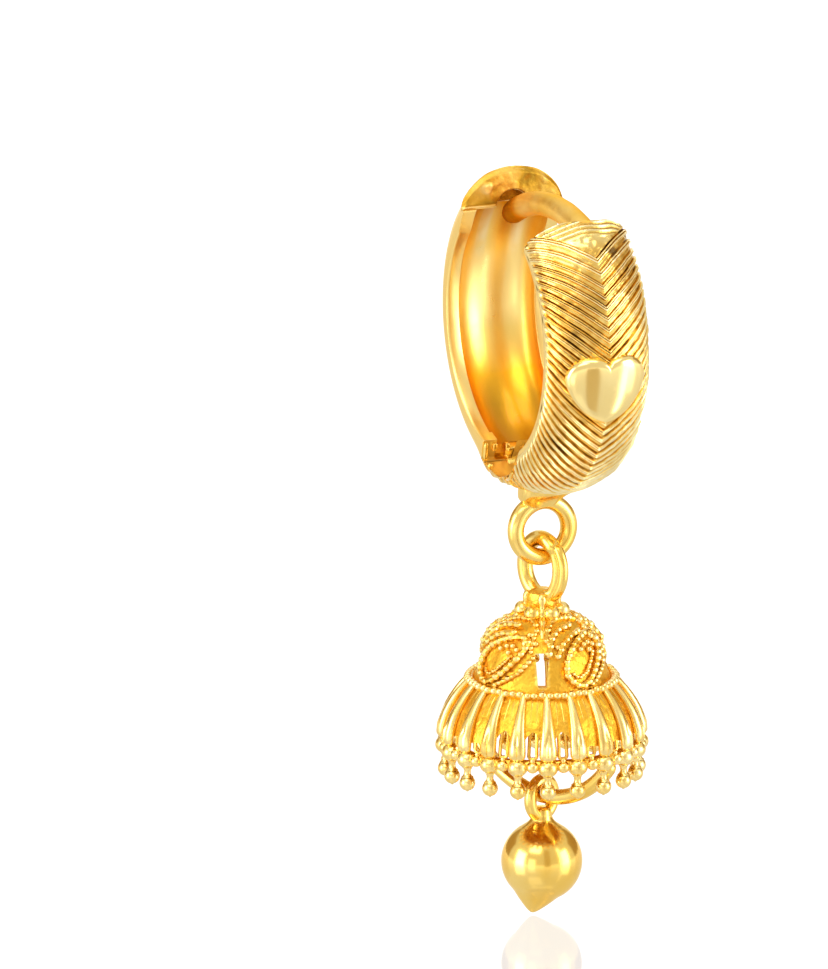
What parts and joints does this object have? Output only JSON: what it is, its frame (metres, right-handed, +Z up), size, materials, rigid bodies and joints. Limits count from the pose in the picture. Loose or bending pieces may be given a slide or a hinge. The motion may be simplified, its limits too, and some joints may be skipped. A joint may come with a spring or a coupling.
{
  "type": "clip-on hoop earring",
  "caption": "Hinged snap hoop earring with an engraved front, a raised heart and a curved ear post, carrying an openwork jhumki bell with a pointed bead drop.",
  "frame": {"origin": "axis of the ear post, midway across the gap at the top of the hoop, where it hangs in the ear", "axes": "+Z up as worn, X along the hoop's axis, -Y towards the engraved front half, +Y towards the hinged back half"},
  "size_m": [0.0102, 0.0161, 0.0356],
  "materials": {
    "engraved_gold": "gold plated, engraved in chevrons",
    "polished_gold": "gold plated, polished",
    "post_gold": "gold plated, as cast",
    "filigree_gold": "gold plated, fine granulation"
  },
  "bodies": {
    "front": {"front_half_hoop": "engraved_gold", "ear_post": "post_gold", "hinge_pin": "post_gold"},
    "back": {"back_half_hoop": "polished_gold"},
    "jhumki": {"jhumki_bell": "filigree_gold"},
    "drop": {"bead_drop": "polished_gold"}
  },
  "joints": [
    {"name": "back_hinge", "type": "hinge", "parent": "front", "child": "back", "pos_m": [0, 0.00139, -0.01319], "axis": [-1, 0, 0], "range_deg": [0, 60]},
    {"name": "bell_swing", "type": "hinge", "parent": "front", "child": "jhumki", "pos_m": [0, 0.0003, -0.01739], "axis": [1, 0, 0], "range_deg": [-60, 60]},
    {"name": "drop_swing", "type": "hinge", "parent": "jhumki", "child": "drop", "pos_m": [0, 0.0003, -0.02917], "axis": [-0.3778, 0.9259, 0], "range_deg": [-45, 45]}
  ]
}
